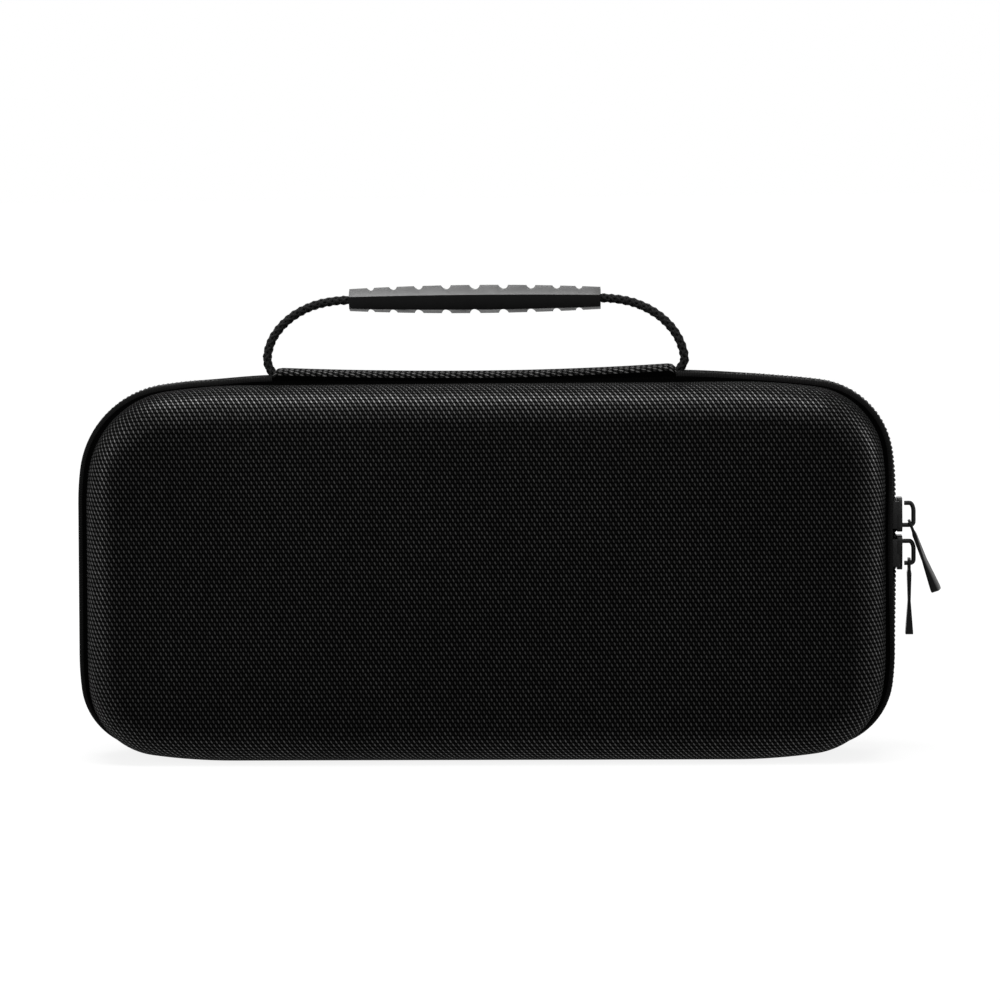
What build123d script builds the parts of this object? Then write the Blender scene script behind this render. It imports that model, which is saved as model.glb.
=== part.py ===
from build123d import *
import math
import os

# Hard zip case for a handheld game console, standing on its long edge.
# X runs along the case, Y from the lid (front) to the base (back), Z up. Millimetres.
# The origin is on the floor, midway along the case and on the parting plane.

# Moulded shells
shell_width = 257.5
shell_height = 121.2
case_depth = 50.0
wall = 4.0
rim_gap = 13.0
corner_radius = 26.0
long_shoulder_radius = 190.0
long_shoulder_angle = 8.0
side_shoulder_radius = 90.0
side_shoulder_angle = 7.0
face_fillet = 12.5
rim_round = 1.5

# Zip band: two tapes, each with half of the coil, sewn to the rims
zip_corner_radius = 28.0
zip_foot_corner_radius = 24.5
zip_side_stand = 2.2
zip_top_stand = 0.7
zip_foot_recess = 2.0
tape_thickness = 1.0
tape_shoulder = 2.4
coil_height = 1.6
coil_width = 2.6
coil_round = 0.8
neck_slot = 1.2
binding_thickness = 1.0

# Fabric hinge along the top
hinge_offset = -2.9
strip_length = 128.4
strip_thickness = 1.6
strip_crown = 0.8
strip_stand = 2.8
lining_thickness = 1.0
lining_drop = 3.7
lining_overhang = 5.3
fold_clearance = 0.3
band_end_gap = 0.5

# Carry handle
cord_diameter = 2.5
cord_inset = 3.3
cord_foot_gap = 0.35
cord_bend_share = 0.45
knot_diameter = 4.8
knot_neck_clearance = 0.05
grip_length = 81.0
grip_mid_height = 8.2
grip_end_height = 5.9
grip_mid_depth = 12.0
grip_end_depth = 8.6
grip_flat_share = 0.42
grip_roll = 15.0
grip_bore_clearance = 0.05
notch_count_each_side = 4
notch_pitch = 9.3
notch_crowding = 0.056
notch_width = 3.5
notch_narrowing = 0.37
notch_depth = 1.1

# Sliders, on the straight run of the right-hand side
slider_length = 11.0
slider_gap = 1.3
slider_above_middle = 9.5
slider_width = 8.4
slider_tail_width = 6.8
slider_plate = 1.7
slider_inner_plate = 1.1
slider_corner = 1.6
slider_clearance = 0.2
slider_inner_clearance = 0.35
slider_lip = 0.7
slider_lip_depth = 1.4
slider_neck_length = 3.0
slider_neck_clearance = 0.15
crown_length = 8.6
crown_height = 4.5
crown_wire = 1.1
crown_width = 1.8
crown_bend = 1.65
crown_gap = 0.6

# Pulls
pull_length = 24.8
pull_eye_thickness = 0.9
pull_bulge_thickness = 1.4
pull_waist_thickness = 0.9
pull_end_thickness = 2.5
pull_waist_share = 0.45
pull_eye_width = 4.6
pull_waist_width = 3.8
pull_end_width = 4.8
pull_eye_clearance = 0.35
pull_eye_bar = 1.0
pull_slot_length = 2.6
pull_slot_clearance = 0.4
pull_corner = 1.2
upper_pull_tilt = 21.0

# Inside
strap_width = 25.0
strap_thickness = 1.0
strap_spacing = 124.0
strap_end_margin = 1.0
mesh_thickness = 0.8
mesh_height = 80.0
hem_width = 4.0
hem_thickness = 1.0

# Worked out from the sizes above
half_depth = case_depth / 2
rim_y = rim_gap / 2
slot_y = neck_slot / 2
coil_y = slot_y + coil_width
zip_half_width = shell_width / 2 + zip_side_stand
zip_top = shell_height + zip_top_stand
zip_middle = (zip_foot_recess + zip_top) / 2
fold_z = shell_height + strip_stand
strip_bottom = fold_z - strip_thickness
lining_bottom = strip_bottom - lining_thickness
lining_half = strip_length / 2 + lining_overhang
band_start = lining_half + band_end_gap
cord_radius = cord_diameter / 2
foot_half = lining_half - cord_inset
inner_face_y = half_depth - wall
straight_wall_y = half_depth - face_fillet
mesh_y = straight_wall_y - hem_thickness
beyond = 1.0


def outline(half_width, bottom, top, foot_corner, head_corner, inset=0.0):
    """Closed outline in X and Z: straight runs, gentle shoulders and round corners."""
    long_turn = math.radians(long_shoulder_angle)
    side_turn = math.radians(side_shoulder_angle)
    shoulders = half_width - long_shoulder_radius * math.sin(long_turn)
    shoulders -= side_shoulder_radius * (1 - math.cos(side_turn))
    corner_turn = 90 - long_shoulder_angle - side_shoulder_angle
    low = bottom + inset
    high = top - inset
    with BuildSketch() as sketch:
        with BuildLine():
            for level, way, corner in ((low, 1, foot_corner), (high, -1, head_corner)):
                flat_half = shoulders - corner * (math.cos(side_turn) - math.sin(long_turn))
                run = Line((0, level), (flat_half, level))
                first = JernArc(run @ 1, (1, 0), long_shoulder_radius - inset, way * long_shoulder_angle)
                bend = JernArc(first @ 1, first % 1, corner - inset, way * corner_turn)
                last = JernArc(bend @ 1, bend % 1, side_shoulder_radius - inset, way * side_shoulder_angle)
                Line(last @ 1, (half_width - inset, (low + high) / 2))
            mirror(about=Plane.YZ)
        make_face()
    return sketch.sketch


def shell_outline(inset=0.0):
    return outline(shell_width / 2, 0, shell_height, corner_radius, corner_radius, inset)


def zip_outline(inset=0.0):
    return outline(zip_half_width, zip_foot_recess, zip_top, zip_foot_corner_radius, zip_corner_radius, inset)


def slab(face, near, far):
    """A face in X and Z, made solid from y = -near to y = -far."""
    return extrude(Plane.XZ.offset(near) * face, amount=far - near)


def front_edges(solid):
    return solid.faces().sort_by(Axis.Y)[0].edges()


def block(x_low, x_high, y_low, y_high, z_low, z_high):
    size = (x_high - x_low, y_high - y_low, z_high - z_low)
    middle = ((x_low + x_high) / 2, (y_low + y_high) / 2, (z_low + z_high) / 2)
    return Pos(*middle) * Box(*size)


def to_base(solid):
    return mirror(solid, about=Plane.XZ)


def hinge_room():
    """The stretch of the top edge that the fabric hinge takes up."""
    return block(hinge_offset - band_start, hinge_offset + band_start, -case_depth, case_depth,
                 zip_middle, fold_z + beyond)


def make_shell():
    body = slab(shell_outline(), rim_y, half_depth)
    body = fillet(front_edges(body), face_fillet)
    hollow = slab(shell_outline(wall), rim_y, inner_face_y)
    hollow = fillet(front_edges(hollow), face_fillet - wall)
    body -= hollow
    rim = body.faces().sort_by(Axis.Y)[-1]
    return fillet(rim.outer_wire().edges(), rim_round)


def make_tape():
    """J-shaped tape: turned down against the rim, then flat under the coil."""
    band = fillet(front_edges(slab(zip_outline(), slot_y, rim_y)), tape_shoulder)
    band -= slab(shell_outline(wall), 0, half_depth)
    under = slab(zip_outline(tape_thickness), 0, rim_y - tape_thickness)
    band -= fillet(front_edges(under), tape_shoulder - tape_thickness)
    return band - hinge_room()


def make_coil():
    crest = slab(zip_outline(-coil_height), slot_y, coil_y)
    sides = crest.faces().filter_by(Axis.Y)
    crest = fillet(sides.edges(), coil_round)
    return crest - slab(zip_outline(), 0, rim_y) - hinge_room()


def make_binding():
    """Edging tape over the seam, down the straight part of the wall."""
    tape = shell_outline(wall) - shell_outline(wall + binding_thickness)
    return slab(tape, rim_y - tape_thickness, mesh_y)


def make_hinge_strip():
    half_width = rim_y - fold_clearance
    with BuildSketch(Plane.YZ) as section:
        with BuildLine():
            left = (-half_width, strip_bottom)
            right = (half_width, strip_bottom)
            shoulder_z = fold_z - strip_crown
            Polyline((-half_width, shoulder_z), left, right, (half_width, shoulder_z))
            ThreePointArc((half_width, shoulder_z), (0, fold_z), (-half_width, shoulder_z))
        make_face()
    return Pos(hinge_offset, 0, 0) * extrude(section.sketch, strip_length / 2, both=True)


def make_hinge_lining():
    """Inner facing of the hinge: a channel whose turned edges stand between the rims."""
    half_width = rim_y - fold_clearance
    low = hinge_offset - lining_half
    high = hinge_offset + lining_half
    channel = block(low, high, -half_width, half_width, lining_bottom - lining_drop, strip_bottom)
    inside = half_width - lining_thickness
    channel -= block(low - beyond, high + beyond, -inside, inside,
                     lining_bottom - lining_drop - beyond, lining_bottom)
    for side in (-1, 1):
        hole = Cylinder(cord_radius + knot_neck_clearance, 2 * (lining_thickness + beyond))
        channel -= Pos(hinge_offset + side * foot_half, 0, lining_bottom) * hole
    return channel


def make_cord_knots():
    """Stopper knots under the hinge, one for each end of the handle's cord."""
    radius = knot_diameter / 2
    centre_z = lining_bottom - radius
    neck_height = strip_bottom - centre_z
    knot = Pos(0, 0, centre_z) * Sphere(radius)
    knot += Pos(0, 0, centre_z + neck_height / 2) * Cylinder(cord_radius, neck_height)
    return Compound([Pos(hinge_offset + side * foot_half, 0, 0) * knot for side in (-1, 1)])


# Handle: the cord's feet turn about a line just above the hinge lining
handle_pivot_z = strip_bottom + cord_radius + cord_foot_gap
# Half of the cord's route, outwards and upwards from its foot, up to the grip
cord_rise = [(0.0, 0.0), (0.8, 6.0), (-1.0, 12.4), (-6.0, 18.2), (-13.4, 22.3), (-21.7, 24.0)]
grip_z = handle_pivot_z + cord_rise[-1][1]


def cord_points():
    right = [(hinge_offset + foot_half + x, handle_pivot_z + z) for x, z in cord_rise]
    left = [(2 * hinge_offset - x, z) for x, z in right]
    return [Vector(x, 0, z) for x, z in left + right[::-1]]


def cord_radii(points):
    """Each bend is as wide as its two runs allow."""
    radii = []
    for before, corner, after in zip(points, points[1:], points[2:]):
        turn = math.radians((corner - before).get_angle(after - corner))
        shorter = min((corner - before).length, (after - corner).length)
        radii.append(cord_bend_share * shorter / math.tan(turn / 2))
    return radii


def make_handle_cord():
    points = cord_points()
    radii = cord_radii(points)
    print("cord bend radii:", [round(r, 1) for r in radii])
    path = FilletPolyline(*points, radius=radii)
    print("cord length:", round(path.length, 1))
    tube = sweep(Plane(points[0], z_dir=path % 0) * Circle(cord_radius), path)
    for end in (points[0], points[-1]):
        tube += Pos(*end) * Sphere(cord_radius)
    return tube


def grip_section(x, height, depth):
    """Six-sided section with a ridge along the front and the back."""
    flat = grip_flat_share * depth / 2
    corners = [(depth / 2, 0), (flat, height / 2), (-flat, height / 2),
               (-depth / 2, 0), (-flat, -height / 2), (flat, -height / 2)]
    return Plane.YZ.offset(x) * make_face(Polyline(*corners, close=True))


def make_handle_grip():
    half = grip_length / 2
    ends = (grip_end_height, grip_end_depth)
    grip = loft([grip_section(-half, *ends), grip_section(0, grip_mid_height, grip_mid_depth),
                 grip_section(half, *ends)])
    for k in range(-notch_count_each_side, notch_count_each_side + 1):
        x = notch_pitch * k - notch_crowding * k**3
        width = notch_width - notch_narrowing * abs(k)
        swell = 1 - (x / half) ** 2
        height = grip_end_height + (grip_mid_height - grip_end_height) * swell
        radius = width / 2
        reach = height / 2 - notch_depth + radius
        for side in (-1, 1):
            cutter = Rot(X=90) * Cylinder(radius, 2 * grip_mid_depth)
            grip -= Pos(x, 0, side * reach) * cutter
    bore = Rot(Y=90) * Cylinder(cord_radius + grip_bore_clearance, grip_length + 2 * beyond)
    return Pos(hinge_offset, 0, grip_z) * Rot(X=-grip_roll) * (grip - bore)


# Sliders: heights along the straight side, and distances out from the case
meeting_z = zip_middle + slider_above_middle
inner_plate_x = zip_half_width - tape_thickness - slider_inner_clearance
outer_plate_x = zip_half_width + coil_height + slider_clearance
crown_x = outer_plate_x + slider_plate
pivot_x = crown_x + crown_height - crown_wire / 2 - crown_bend
pivot_rise = slider_gap / 2 + slider_length / 2 - crown_length / 2 + crown_wire / 2 + crown_bend
upper_pivot_z = meeting_z + pivot_rise
lower_pivot_z = meeting_z - pivot_rise - crown_length + crown_wire + 2 * crown_bend


def slider_plate_face():
    """Plate seen from outside: wide where the tapes part, narrow where they are joined."""
    head = slider_width / 2
    tail = slider_tail_width / 2
    half = slider_length / 2
    corners = [(-head, -half), (head, -half), (head, 0), (tail, half), (-tail, half), (-head, 0)]
    face = make_face(Polyline(*corners, close=True))
    ends = face.vertices().filter_by(lambda v: abs(v.Y) > half / 2)
    return fillet(ends, slider_corner)


def make_slider():
    """Slider with its head downwards, centred on z = 0. Its lid side has no lip."""
    side_on = Plane(origin=(0, 0, 0), x_dir=(0, 1, 0), z_dir=(1, 0, 0))
    face = slider_plate_face()
    body = extrude(side_on.offset(outer_plate_x) * face, slider_plate)
    body += extrude(side_on.offset(inner_plate_x - slider_inner_plate) * face, slider_inner_plate)
    half = slider_length / 2
    neck_half = slot_y - slider_neck_clearance
    body += block(inner_plate_x, outer_plate_x, -neck_half, neck_half,
                  -half, slider_neck_length - half)
    head = slider_width / 2
    body += block(outer_plate_x - slider_lip_depth, outer_plate_x, head - slider_lip, head,
                  slider_corner - half, 0)
    return body + make_crown()


def make_crown():
    """Bridge over the plate: a bent strip whose tail end stays open by a narrow gap."""
    reach = crown_height + slider_plate / 2
    foot = crown_x - slider_plate / 2
    side_on = Plane(origin=(foot, 0, 0), x_dir=(1, 0, 0), z_dir=(0, -1, 0))
    outer = Rectangle(2 * reach, crown_length)
    outer = fillet(outer.vertices(), crown_bend + crown_wire / 2)
    inner = Rectangle(2 * (reach - crown_wire), crown_length - 2 * crown_wire)
    inner = fillet(inner.vertices(), crown_bend - crown_wire / 2)
    loop = (outer - inner) & Pos(reach, 0) * Rectangle(2 * reach, 2 * crown_length)
    strip = extrude(side_on * loop, crown_width / 2, both=True)
    half_width = crown_width / 2
    gap = block(crown_x, crown_x + crown_gap, -half_width - beyond, half_width + beyond,
                0, crown_length)
    rest = block(crown_x - slider_plate, crown_x, -half_width - beyond, half_width + beyond,
                 0, crown_length)
    return strip - gap - rest


def make_pull():
    """Pull hanging down from z = 0, the line that its eye turns about."""
    top = pull_eye_bar - slot_top()
    foot = top - pull_length
    slot_low = -slot_top() - pull_slot_length
    bulge_z = slot_low - pull_bulge_thickness
    waist_z = bulge_z + (foot - bulge_z) * pull_waist_share
    edge = [(0, top), (pull_eye_thickness / 2, top), (pull_eye_thickness / 2, slot_low),
            (pull_bulge_thickness / 2, bulge_z), (pull_waist_thickness / 2, waist_z),
            (pull_end_thickness / 2, foot)]
    with BuildSketch(Plane.XZ) as profile:
        with BuildLine():
            Polyline(*edge, *[(-x, z) for x, z in reversed(edge)])
        make_face()
    body = extrude(profile.sketch, pull_end_width, both=True)
    eye = pull_eye_width / 2
    waist = pull_waist_width / 2
    end = pull_end_width / 2
    shape = [(-eye, top), (-eye, slot_low), (-waist, waist_z), (-end, foot + end), (-end, foot),
             (end, foot), (end, foot + end), (waist, waist_z), (eye, slot_low), (eye, top)]
    front_on = Plane(origin=(0, 0, 0), x_dir=(0, 1, 0), z_dir=(1, 0, 0))
    face = make_face(Polyline(*shape, close=True))
    ends = face.vertices().filter_by(lambda v: v.Y > -beyond or v.Y < foot + beyond)
    face = fillet(ends, pull_corner)
    body &= extrude(front_on * face, pull_end_width, both=True)
    slot_half = crown_width / 2 + pull_slot_clearance
    body -= block(-pull_end_width, pull_end_width, -slot_half, slot_half, slot_low, -slot_top())
    return body


def slot_top():
    """How far below its turning line the pull's slot begins."""
    return crown_bend - crown_wire / 2 - pull_eye_clearance


def make_straps():
    straps = {}
    low = wall + (face_fillet - wall) + strap_end_margin
    high = shell_height - low
    for name, side in (("left_strap", -1), ("right_strap", 1)):
        middle = side * strap_spacing / 2
        straps[name] = block(middle - strap_width / 2, middle + strap_width / 2,
                             inner_face_y - strap_thickness, inner_face_y, low, high)
    return straps


def make_mesh_pocket():
    """Mesh panel across the lid, sewn to its wall, with an elastic hem along its open edge."""
    wide = shell_width / 2
    panel = slab(shell_outline(wall), mesh_y, mesh_y + mesh_thickness)
    panel &= block(-wide, wide, -half_depth, 0, 0, mesh_height)
    hem = slab(shell_outline(wall), mesh_y, mesh_y + hem_thickness)
    hem &= block(-wide, wide, -half_depth, 0, mesh_height, mesh_height + hem_width)
    return panel, hem


parts = {}
shell = make_shell()
parts["front_shell"] = shell
parts["back_shell"] = to_base(shell)
for node, solid in (("zip_tape", make_tape()), ("zip_coil", make_coil()), ("binding", make_binding())):
    parts["lid_" + node] = solid
    parts["base_" + node] = to_base(solid)
parts["hinge_strip"] = make_hinge_strip()
parts["hinge_lining"] = make_hinge_lining()
parts["cord_knots"] = make_cord_knots()
parts["handle_cord"] = make_handle_cord()
parts["handle_grip"] = make_handle_grip()

slider_rise = (slider_gap + slider_length) / 2
parts["upper_slider"] = Pos(0, 0, meeting_z + slider_rise) * make_slider()
lower = mirror(make_slider(), about=Plane.XY)
parts["lower_slider"] = Pos(0, 0, meeting_z - slider_rise) * lower
parts["upper_pull"] = Pos(pivot_x, 0, upper_pivot_z) * Rot(Y=-upper_pull_tilt) * make_pull()
parts["lower_pull"] = Pos(pivot_x, 0, lower_pivot_z) * make_pull()
parts.update(make_straps())
parts["mesh_pocket"], parts["pocket_hem"] = make_mesh_pocket()

print("fold line z:", fold_z, "handle pivot z:", handle_pivot_z, "grip z:", grip_z)
print("pull pivots x, z:", pivot_x, upper_pivot_z, lower_pivot_z)
os.makedirs("parts", exist_ok=True)
for node, solid in parts.items():
    export_step(solid, f"parts/{node}.step")
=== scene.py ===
import math

import bpy
from mathutils import Matrix, Vector


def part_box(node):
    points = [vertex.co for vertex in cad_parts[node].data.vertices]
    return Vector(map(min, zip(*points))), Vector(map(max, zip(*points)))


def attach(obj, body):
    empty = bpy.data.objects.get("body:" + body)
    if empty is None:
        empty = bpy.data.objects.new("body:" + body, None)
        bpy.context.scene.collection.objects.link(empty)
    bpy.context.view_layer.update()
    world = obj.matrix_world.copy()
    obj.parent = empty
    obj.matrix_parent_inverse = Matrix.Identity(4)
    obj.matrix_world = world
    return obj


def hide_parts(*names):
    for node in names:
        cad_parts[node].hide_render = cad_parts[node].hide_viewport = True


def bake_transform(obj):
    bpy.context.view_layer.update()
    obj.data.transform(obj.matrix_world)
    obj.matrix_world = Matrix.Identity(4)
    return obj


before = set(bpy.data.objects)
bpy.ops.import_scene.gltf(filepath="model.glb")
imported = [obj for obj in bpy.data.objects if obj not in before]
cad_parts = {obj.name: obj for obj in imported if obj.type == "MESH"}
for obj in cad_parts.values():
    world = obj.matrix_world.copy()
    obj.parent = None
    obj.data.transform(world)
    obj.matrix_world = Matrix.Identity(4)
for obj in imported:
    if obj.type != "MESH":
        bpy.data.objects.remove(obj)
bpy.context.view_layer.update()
mm = 0.001
print("frame loaded,", len(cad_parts), "nodes")


# camera and light, lengths in mm unless a note says otherwise
studio = {
    "azimuth": 3.0, "elevation": 5.0, "roll": 0.62,  # degrees
    "distance": 1200.0, "lens": 133.4,
    "aim": (4.9, 0.0, 82.9),  # what the middle of the picture shows
    "worldGlow": 0.06, "floorTone": 0.12, "floorLift": 0.86, "floorReach": (300.0, 1000.0),
    "lampAim": (0, 0, 70),
    # place, width, height, watts
    "lamps": [
        ((-60, -130, 900), 900, 350, 11.0),
        ((-100, -1000, 700), 1200, 800, 5.5),
        ((-800, -300, 260), 500, 800, 3.2),
        ((800, 20, 300), 160, 480, 2.5),
        ((0, 700, 700), 700, 300, 5.0),
    ],
}


def lookAt(place, target):
    return (Vector(target) - Vector(place)).to_track_quat("-Z", "Y").to_euler()


def addCamera():
    turn, rise = math.radians(studio["azimuth"]), math.radians(studio["elevation"])
    aim = Vector(studio["aim"]) * mm
    back = Vector((math.sin(turn) * math.cos(rise), -math.cos(turn) * math.cos(rise), math.sin(rise)))
    spot = aim + back * studio["distance"] * mm
    bpy.ops.object.camera_add(location=spot, rotation=lookAt(spot, aim))
    camera = bpy.context.object
    camera.rotation_euler.rotate_axis("Z", -math.radians(studio["roll"]))
    camera.data.lens = studio["lens"]
    camera.data.clip_end = 50
    bpy.context.scene.camera = camera


addCamera()
print("camera in place")


# the object in hand: the only one selected
def takeUp(piece):
    bpy.ops.object.select_all(action="DESELECT")
    piece.select_set(True)
    bpy.context.view_layer.objects.active = piece
    return piece


def editAll(piece):
    takeUp(piece)
    bpy.ops.object.mode_set(mode="EDIT")
    bpy.ops.mesh.select_mode(type="VERT")
    bpy.ops.mesh.select_all(action="SELECT")


def editSome(piece, test):
    takeUp(piece)
    bpy.ops.object.mode_set(mode="EDIT")
    bpy.ops.mesh.select_mode(type="VERT")
    bpy.ops.mesh.select_all(action="DESELECT")
    bpy.ops.object.mode_set(mode="OBJECT")
    for vertex in piece.data.vertices:
        vertex.select = test(vertex)
    bpy.ops.object.mode_set(mode="EDIT")


def closeUp(piece, near=1e-6):
    editAll(piece)
    bpy.ops.mesh.remove_doubles(threshold=near)
    bpy.ops.mesh.normals_make_consistent(inside=False)
    bpy.ops.object.mode_set(mode="OBJECT")


def smoothEdges(piece, angle=40):
    takeUp(piece)
    bpy.ops.object.shade_smooth_by_angle(angle=math.radians(angle))


def applyAll(piece):
    takeUp(piece)
    for modifier in list(piece.modifiers):
        bpy.ops.object.modifier_apply(modifier=modifier.name)


def clamp(value):
    return max(0.0, min(1.0, value))


def ease(share):
    return share * share * (3 - 2 * share)


def joinPieces(name, pieces):
    takeUp(pieces[0])
    for other in pieces[1:]:
        other.select_set(True)
    if len(pieces) > 1:
        bpy.ops.object.join()
    joined = bpy.context.object
    joined.name = joined.data.name = name
    return joined


# a line of points to sweep: a mesh circle with its points put where they belong
def drawProfile(name, points, closed=True):
    bpy.ops.object.select_all(action="DESELECT")
    bpy.ops.mesh.primitive_circle_add(vertices=len(points), radius=mm)
    piece = bpy.context.object
    piece.name = piece.data.name = name
    for vertex, point in zip(piece.data.vertices, points):
        vertex.co = point
    if not closed:
        ends = (0, len(points) - 1)
        editSome(piece, lambda vertex: vertex.index in ends)
        bpy.ops.mesh.delete(type="EDGE")
        bpy.ops.object.mode_set(mode="OBJECT")
    while piece.data.uv_layers:
        piece.data.uv_layers.remove(piece.data.uv_layers[0])
    return piece


# a rail runs clockwise, seen from the front; each leg is (length, radius, steps), radius 0 for a straight one
def buildRail(place, heading, legs):
    rail, place, heading = [], Vector(place), Vector(heading)
    for length, radius, steps in legs:
        right = Vector((heading.z, 0, -heading.x))
        leg = {"place": place, "heading": heading, "right": right,
               "length": length, "radius": radius, "steps": steps}
        if radius:
            turn = length / radius
            leg["turn"], leg["centre"] = turn, place + right * radius
            place = leg["centre"] + (heading * math.sin(turn) - right * math.cos(turn)) * radius
            heading = heading * math.cos(turn) + right * math.sin(turn)
        else:
            place = place + heading * length
        rail.append(leg)
    return rail


def railSpots(rail, spacing):
    spots, travelled = [], 0.0
    for leg in rail:
        while travelled <= leg["length"]:
            if leg["radius"]:
                turn = travelled / leg["radius"]
                outward = leg["heading"] * math.sin(turn) - leg["right"] * math.cos(turn)
                forward = leg["heading"] * math.cos(turn) + leg["right"] * math.sin(turn)
                spots.append((leg["centre"] + outward * leg["radius"], outward, forward))
            else:
                spots.append((leg["place"] + leg["heading"] * travelled, -leg["right"], leg["heading"]))
            travelled += spacing
        travelled -= leg["length"]
    return spots


# sweeps the profile along the rail: extrude the straight legs, spin the round ones
def sweepAlong(piece, rail):
    editAll(piece)
    stations = [0.0]
    for leg in rail:
        stride = leg["length"] / leg["steps"]
        if leg["radius"]:
            bpy.ops.mesh.spin(steps=leg["steps"], angle=leg["turn"], center=leg["centre"], axis=(0, -1, 0))
        else:
            for step in range(leg["steps"]):
                bpy.ops.mesh.extrude_region_move(TRANSFORM_OT_translate={"value": leg["heading"] * stride})
        stations += [stations[-1] + stride * (step + 1) for step in range(leg["steps"])]
    bpy.ops.object.mode_set(mode="OBJECT")
    return stations


def runLengths(points, closed):
    ring = list(points) + ([points[0]] if closed else [])
    run = [0.0]
    for before, after in zip(ring, ring[1:]):
        run.append(run[-1] + (Vector(after) - Vector(before)).length)
    return run


# cloth coordinates in mm: along the rail and round the profile
def clothAlong(piece, stations, run, count, closed):
    layer = piece.data.uv_layers.new(name="cloth")
    for face in piece.data.polygons:
        spots = [v % count for v in face.vertices]
        wraps = closed and max(spots) - min(spots) > 1
        for loop, v in zip(face.loop_indices, face.vertices):
            spot = count if wraps and v % count == 0 else v % count
            layer.data[loop].uv = (stations[v // count] / mm, run[spot] / mm)


def capEnds(piece, count):
    last = len(piece.data.vertices) - count
    for first in (0, last):
        editSome(piece, lambda vertex: first <= vertex.index < first + count)
        bpy.ops.mesh.edge_face_add()
        bpy.ops.object.mode_set(mode="OBJECT")


def sweepPiece(name, points, rail):
    piece = drawProfile(name, points)
    stations = sweepAlong(piece, rail)
    clothAlong(piece, stations, runLengths(points, True), len(points), True)
    capEnds(piece, len(points))
    closeUp(piece)
    return piece


# cloth coordinates straight from the place, for flat pieces
def clothFlat(piece, across, up):
    layer = piece.data.uv_layers.get("cloth") or piece.data.uv_layers.new(name="cloth")
    for loop in piece.data.loops:
        place = piece.data.vertices[loop.vertex_index].co
        layer.data[loop.index].uv = (place.dot(Vector(across)) / mm, place.dot(Vector(up)) / mm)


def mirrorToBase(piece, name):
    twin = bpy.data.objects.new(name, piece.data.copy())
    twin.data.name = name
    bpy.context.scene.collection.objects.link(twin)
    twin.data.transform(Matrix.Scale(-1, 4, (0, 1, 0)))
    twin.data.flip_normals()
    return twin


def settle(piece, body, slot, *replaced):
    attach(piece, body)
    if replaced:
        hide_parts(*replaced)
    return piece


# a piece of the lid, with its mirror image on the base
def settleBoth(piece, baseName, slot, lidNode, baseNode):
    base = mirrorToBase(piece, baseName)
    settle(piece, "lid", slot, lidNode)
    settle(base, "base", slot, baseNode)


def wear(piece, *materials):
    # clearing also forgets which face wears what
    if piece.data.materials:
        piece.data.materials.clear()
    for material in materials:
        piece.data.materials.append(material)
    return piece


# shader nodes
def addNode(tree, kind, sockets=None, **settings):
    node = tree.nodes.new(kind)
    for name, value in settings.items():
        setattr(node, name, value)
    for name, value in (sockets or {}).items():
        if isinstance(value, bpy.types.NodeSocket):
            tree.links.new(value, node.inputs[name])
        else:
            node.inputs[name].default_value = value
    return node


def calc(tree, operation, *values):
    return addNode(tree, "ShaderNodeMath", dict(enumerate(values)), operation=operation).outputs[0]


# runs smoothly between two values while the input crosses a reach
def ramp(tree, value, reach, ends, kind="SMOOTHSTEP"):
    return addNode(tree, "ShaderNodeMapRange",
                   {"Value": value, "From Min": reach[0], "From Max": reach[1], "To Min": ends[0], "To Max": ends[1]},
                   interpolation_type=kind).outputs[0]


def blendColours(tree, share, first, second):
    node = addNode(tree, "ShaderNodeMix", data_type="RGBA")
    for socket, value in ((node.inputs[0], share), (node.inputs[6], first), (node.inputs[7], second)):
        if isinstance(value, bpy.types.NodeSocket):
            tree.links.new(value, socket)
        else:
            socket.default_value = value
    return node.outputs[2]


def newGroup(name, inputs, outputs):
    tree = bpy.data.node_groups.new(name, "ShaderNodeTree")
    for label, kind, value in inputs:
        socket = tree.interface.new_socket(label, in_out="INPUT", socket_type="NodeSocket" + kind)
        if value is not None:
            socket.default_value = value
    for label in outputs:
        tree.interface.new_socket(label, in_out="OUTPUT", socket_type="NodeSocketFloat")
    return tree, tree.nodes.new("NodeGroupInput").outputs, tree.nodes.new("NodeGroupOutput").inputs


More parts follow.
